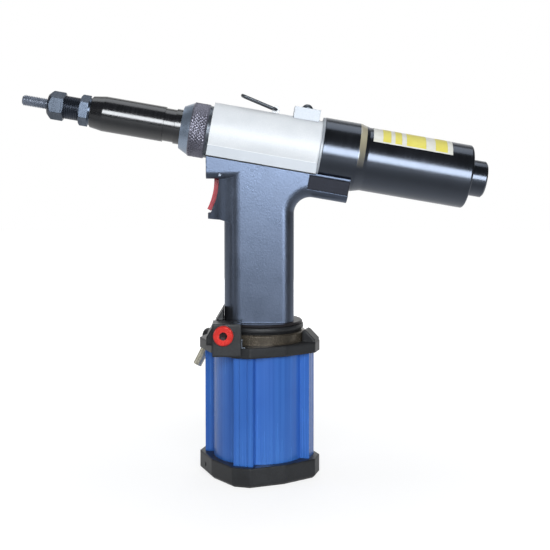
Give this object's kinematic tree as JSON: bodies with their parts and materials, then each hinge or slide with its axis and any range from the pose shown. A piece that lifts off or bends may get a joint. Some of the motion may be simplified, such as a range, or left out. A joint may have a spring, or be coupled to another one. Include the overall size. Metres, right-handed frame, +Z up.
{
  "type": "rivet nut tool",
  "caption": "Pistol-form hydro-pneumatic rivet nut tool: threaded mandrel and anvil on a tilted spin-pull head, grip with trigger, and an air cylinder as its foot.",
  "frame": {"origin": "centre of the underside of the air cylinder's bottom cap, where the tool stands", "axes": "+Z up along the grip and air cylinder, -X towards the nose, +X towards the rear, -Y towards the side with the regulator screw"},
  "size_m": [0.3453, 0.0941, 0.2858],
  "materials": {
    "black_cast": "satin black coated casting",
    "blue_tube": "blue anodised extrusion",
    "steel": "ground steel",
    "seal": "matt black",
    "inner_aluminium": "turned",
    "bronze": "turned",
    "collar": "semi-gloss brown black",
    "grip": "fine grained grey black coating on a casting",
    "trigger_red": "moulded red",
    "bright_steel": "bright plated",
    "cap_red": "red anodised",
    "fitting": "nickel plated brass",
    "silver": "satin silver",
    "dark_steel": "black oxide",
    "gloss_black": "gloss black anodised",
    "knurl_steel": "knurled, blackened",
    "blued_steel": "blued",
    "vane": "phenolic",
    "silencer": "sintered"
  },
  "bodies": {
    "tool_body": {"bottom_cap": "black_cast", "air_cylinder": "blue_tube", "cylinder_head": "black_cast", "tie_bolts": "steel", "cylinder_seals": "seal", "ram_gland": "bronze", "collar_ring": "collar", "collar_lock_ring": "black_cast", "handle": "grip", "oil_tube": "steel", "trigger_pin": "bright_steel", "valve_cartridge": "bronze", "valve_spring": "steel", "valve_block": "black_cast", "block_screw": "steel", "lock_tab": "bright_steel", "inlet_elbow": "fitting", "inlet_nipple": "fitting", "seam_gasket": "seal", "head_housing": "silver", "oil_cover": "silver", "oil_screw": "dark_steel", "oil_washer": "bronze", "rear_gland": "inner_aluminium", "return_spring": "steel", "nose_casing": "gloss_black", "union_nut": "knurl_steel", "nose_lock_ring": "dark_steel", "anvil": "blued_steel", "anvil_lock_nut": "bright_steel", "casing_ring": "silver", "rear_casing": "gloss_black", "gearbox": "steel", "motor_front_plate": "steel", "motor_cylinder": "steel", "motor_rear_plate": "steel", "exhaust_silencer": "silencer", "rear_plug": "gloss_black"},
    "ram_body": {"air_piston": "inner_aluminium", "air_piston_seal": "seal", "ram": "steel"},
    "pull_body": {"pull_piston": "steel", "piston_seal": "seal", "pull_sleeve": "steel", "thrust_ring": "bright_steel"},
    "mandrel_body": {"mandrel": "dark_steel", "mandrel_chuck": "steel", "drive_shaft": "steel"},
    "rotor_body": {"motor_rotor": "steel", "rotor_vanes": "vane"},
    "carrier_body": {"output_carrier": "steel"},
    "trigger_body": {"trigger": "trigger_red"},
    "valve_body": {"valve_stem": "bright_steel"},
    "regulator_body": {"regulator_screw": "cap_red"},
    "bail_body": {"hanger_bail": "steel"}
  },
  "joints": [
    {"name": "ram_stroke", "type": "slide", "parent": "tool_body", "child": "ram_body", "axis": [0, 0, 1], "range_m": [0, 0.0408]},
    {"name": "pull_stroke", "type": "slide", "parent": "tool_body", "child": "pull_body", "axis": [0.9854, 0, -0.1702], "range_m": [0, 0.007], "stiffness_N_per_m": 2000, "springref_m": -0.004, "deforming": ["return_spring"]},
    {"name": "mandrel_spin", "type": "hinge", "parent": "pull_body", "child": "mandrel_body", "pos_m": [0, 0, 0.249], "axis": [0.9854, 0, -0.1702], "continuous": true},
    {"name": "carrier_spin", "type": "hinge", "parent": "tool_body", "child": "carrier_body", "pos_m": [0, 0, 0.249], "axis": [0.9854, 0, -0.1702], "continuous": true},
    {"name": "rotor_spin", "type": "hinge", "parent": "tool_body", "child": "rotor_body", "pos_m": [0, 0, 0.249], "axis": [0.9854, 0, -0.1702], "continuous": true},
    {"name": "trigger_pull", "type": "hinge", "parent": "tool_body", "child": "trigger_body", "pos_m": [-0.0287, 0, 0.2238], "axis": [0, -1, 0], "range_deg": [0, 9], "stiffness_Nm_per_rad": 0.4, "springref_deg": -4.58, "deforming": ["valve_spring"]},
    {"name": "valve_travel", "type": "slide", "parent": "tool_body", "child": "valve_body", "axis": [1, 0, 0], "range_m": [0, 0.003]},
    {"name": "regulator_turn", "type": "hinge", "parent": "tool_body", "child": "regulator_body", "pos_m": [-0.0256, -0.0446, 0.1105], "axis": [0, -1, 0], "range_deg": [-180, 180]},
    {"name": "hanger_swing", "type": "hinge", "parent": "tool_body", "child": "bail_body", "pos_m": [0.01258, 0, 0.27189], "axis": [0, 1, 0], "range_deg": [-12, 105]}
  ],
  "couplings": [
    {"joint": "pull_stroke", "follows": "ram_stroke", "ratio": 0.17133},
    {"joint": "mandrel_spin", "follows": "rotor_spin", "ratio": 0.055556},
    {"joint": "carrier_spin", "follows": "rotor_spin", "ratio": 0.055556},
    {"joint": "valve_travel", "follows": "trigger_pull", "m_per_rad": 0.0178}
  ]
}
